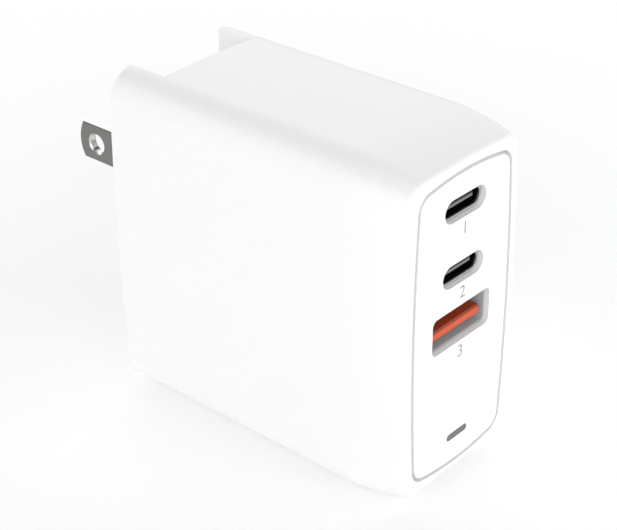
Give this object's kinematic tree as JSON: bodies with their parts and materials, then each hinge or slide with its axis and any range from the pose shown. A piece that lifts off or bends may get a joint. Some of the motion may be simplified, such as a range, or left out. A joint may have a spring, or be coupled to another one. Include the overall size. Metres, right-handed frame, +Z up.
{
  "type": "wall charger",
  "caption": "Compact upright wall charger with a flush front panel of charging ports, a light slot and a flat-blade plug that folds up into the back.",
  "frame": {"origin": "middle of the flat underside, halfway between the front panel and the back of the housing", "axes": "+Z up, -Y out of the ports, +Y along the unfolded blades, X across the narrow side"},
  "size_m": [0.0296, 0.072, 0.055],
  "materials": {
    "white_plastic": "satin",
    "white_panel": "satin",
    "grey_lens": "satin",
    "white_chip": "satin",
    "port_steel": "satin",
    "dark_moulding": "satin",
    "orange_moulding": "satin",
    "contact_gold": "polished",
    "blade_metal": "satin",
    "spring_bronze": "satin",
    "board": "satin",
    "ferrite": "matt",
    "winding_tape": "satin",
    "choke_coat": "satin",
    "copper_wire": "satin",
    "capacitor_sleeve": "gloss",
    "capacitor_can": "satin",
    "yellow_case": "satin",
    "blue_coat": "satin",
    "chip_black": "matt",
    "pad_grey": "matt",
    "spreader_metal": "satin",
    "clear_film": "satin"
  },
  "bodies": {
    "case": {"housing": "white_plastic", "front_panel": "white_panel", "light_pipe": "grey_lens", "light_chip": "white_chip", "usb_c_shell_1": "port_steel", "usb_c_shell_2": "port_steel", "usb_a_shell": "port_steel", "usb_c_tongue_1": "dark_moulding", "usb_c_tongue_2": "dark_moulding", "usb_a_tongue": "orange_moulding", "usb_c_contacts_1": "contact_gold", "usb_c_contacts_2": "contact_gold", "usb_a_contacts": "contact_gold", "contact_spring_left": "spring_bronze", "contact_spring_right": "spring_bronze", "port_board": "board", "main_board": "board", "transformer_core": "ferrite", "transformer_bobbin": "dark_moulding", "transformer_winding": "winding_tape", "choke_core": "choke_coat", "choke_winding": "copper_wire", "bulk_capacitor_1": "capacitor_sleeve", "bulk_capacitor_2": "capacitor_sleeve", "output_capacitor_1": "capacitor_can", "output_capacitor_2": "capacitor_can", "x_capacitor": "yellow_case", "y_capacitor": "blue_coat", "fuse": "dark_moulding", "bridge_rectifier": "chip_black", "buck_inductor": "ferrite", "switch_chip": "chip_black", "rectifier_chip": "chip_black", "port_controller_chip": "chip_black", "thermal_pad": "pad_grey", "heat_spreader": "spreader_metal", "insulating_sheet": "clear_film"},
    "plug": {"plug_rotor": "white_plastic", "blade_left": "blade_metal", "blade_right": "blade_metal"}
  },
  "joints": [
    {"name": "plug_fold", "type": "hinge", "parent": "case", "child": "plug", "pos_m": [0, 0.02567, 0.0353], "axis": [1, 0, 0], "range_deg": [0, 90]}
  ]
}
